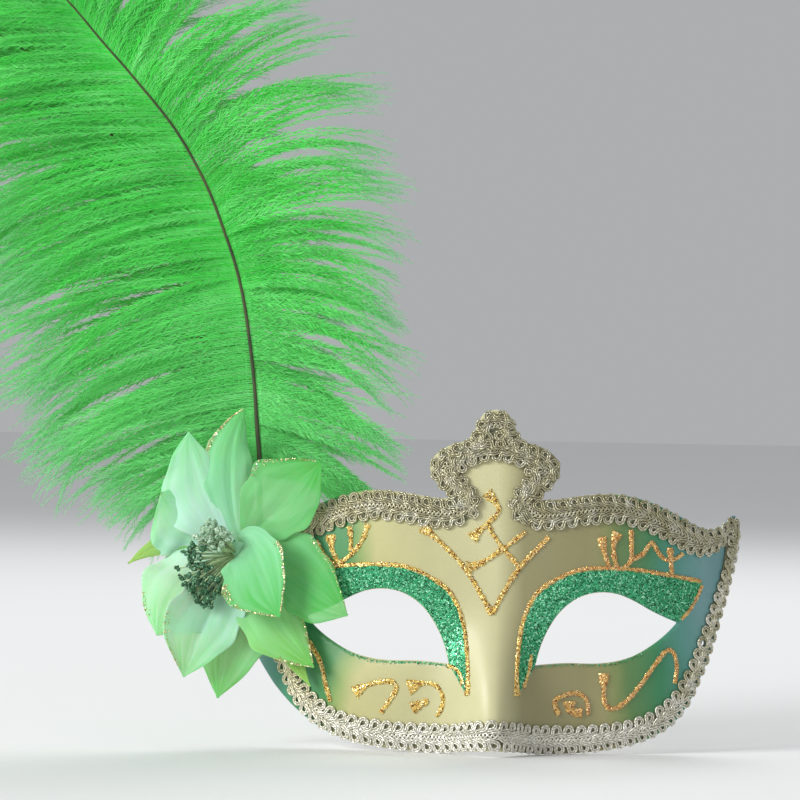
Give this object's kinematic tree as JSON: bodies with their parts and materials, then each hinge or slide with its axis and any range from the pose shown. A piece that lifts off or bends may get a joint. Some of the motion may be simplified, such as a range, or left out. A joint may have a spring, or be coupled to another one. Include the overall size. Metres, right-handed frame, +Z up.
{
  "type": "venetian masquerade mask",
  "caption": "Venetian half mask with crown, metallic braid edge, glitter-lined eye holes, a sheer fabric flower and ostrich plumes at one temple.",
  "frame": {"origin": "inside of the nose bridge between the eye holes, where the mask rests on the wearer's nose", "axes": "+X to the right seen from the front, -Y out of the front of the mask, +Y towards the wearer, +Z up"},
  "size_m": [0.3027, 0.0632, 0.3135],
  "materials": {
    "pearl_paint": "pearl paint, cream in the middle shading to green and teal",
    "silver_gimp": "metallic thread",
    "green_glitter": "glitter",
    "gold_glitter": "glitter",
    "hot_glue": "translucent",
    "flower_backing": "matt",
    "petal_organza": "sheer",
    "leaf_organza": "sheer",
    "petal_gold": "glitter",
    "stamen_stem": "satin",
    "stamen_head": "glitter",
    "quill": "satin",
    "plume_green": "soft"
  },
  "bodies": {
    "mask": {"shell": "pearl_paint", "upper_braid": "silver_gimp", "lower_braid": "silver_gimp", "glitter_band_left": "green_glitter", "glitter_band_right": "green_glitter", "eye_line_left": "gold_glitter", "eye_line_right": "gold_glitter", "forehead_lines": "gold_glitter", "temple_lines_left": "gold_glitter", "temple_lines_right": "gold_glitter", "cheek_lines_left": "gold_glitter", "cheek_lines_right": "gold_glitter", "glue_pad": "hot_glue", "flower_base": "flower_backing", "petal_1": "petal_organza", "petal_2": "petal_organza", "petal_3": "petal_organza", "petal_4": "petal_organza", "petal_5": "petal_organza", "petal_6": "petal_organza", "petal_7": "petal_organza", "petal_8": "petal_organza", "petal_9": "petal_organza", "petal_10": "petal_organza", "leaf_1": "leaf_organza", "leaf_2": "leaf_organza", "petal_glitter": "petal_gold", "stamen_stems": "stamen_stem", "stamen_heads": "stamen_head", "quill_stubs": "quill"},
    "front_plume": {"front_quill": "quill", "front_barbs_left": "plume_green", "front_barbs_right": "plume_green"},
    "back_plume": {"back_quill": "quill", "back_barbs_left": "plume_green", "back_barbs_right": "plume_green"}
  },
  "joints": [
    {"name": "front_plume_sway", "type": "hinge", "parent": "mask", "child": "front_plume", "pos_m": [-0.0772, 0.0285, 0.034], "axis": [0, 1, 0], "range_deg": [-8, 8], "stiffness_Nm_per_rad": 0.08, "springref_deg": 2.15},
    {"name": "back_plume_sway", "type": "hinge", "parent": "mask", "child": "back_plume", "pos_m": [-0.0808, 0.0335, 0.033], "axis": [0, 1, 0], "range_deg": [-8, 8], "stiffness_Nm_per_rad": 0.08, "springref_deg": 1.97}
  ]
}
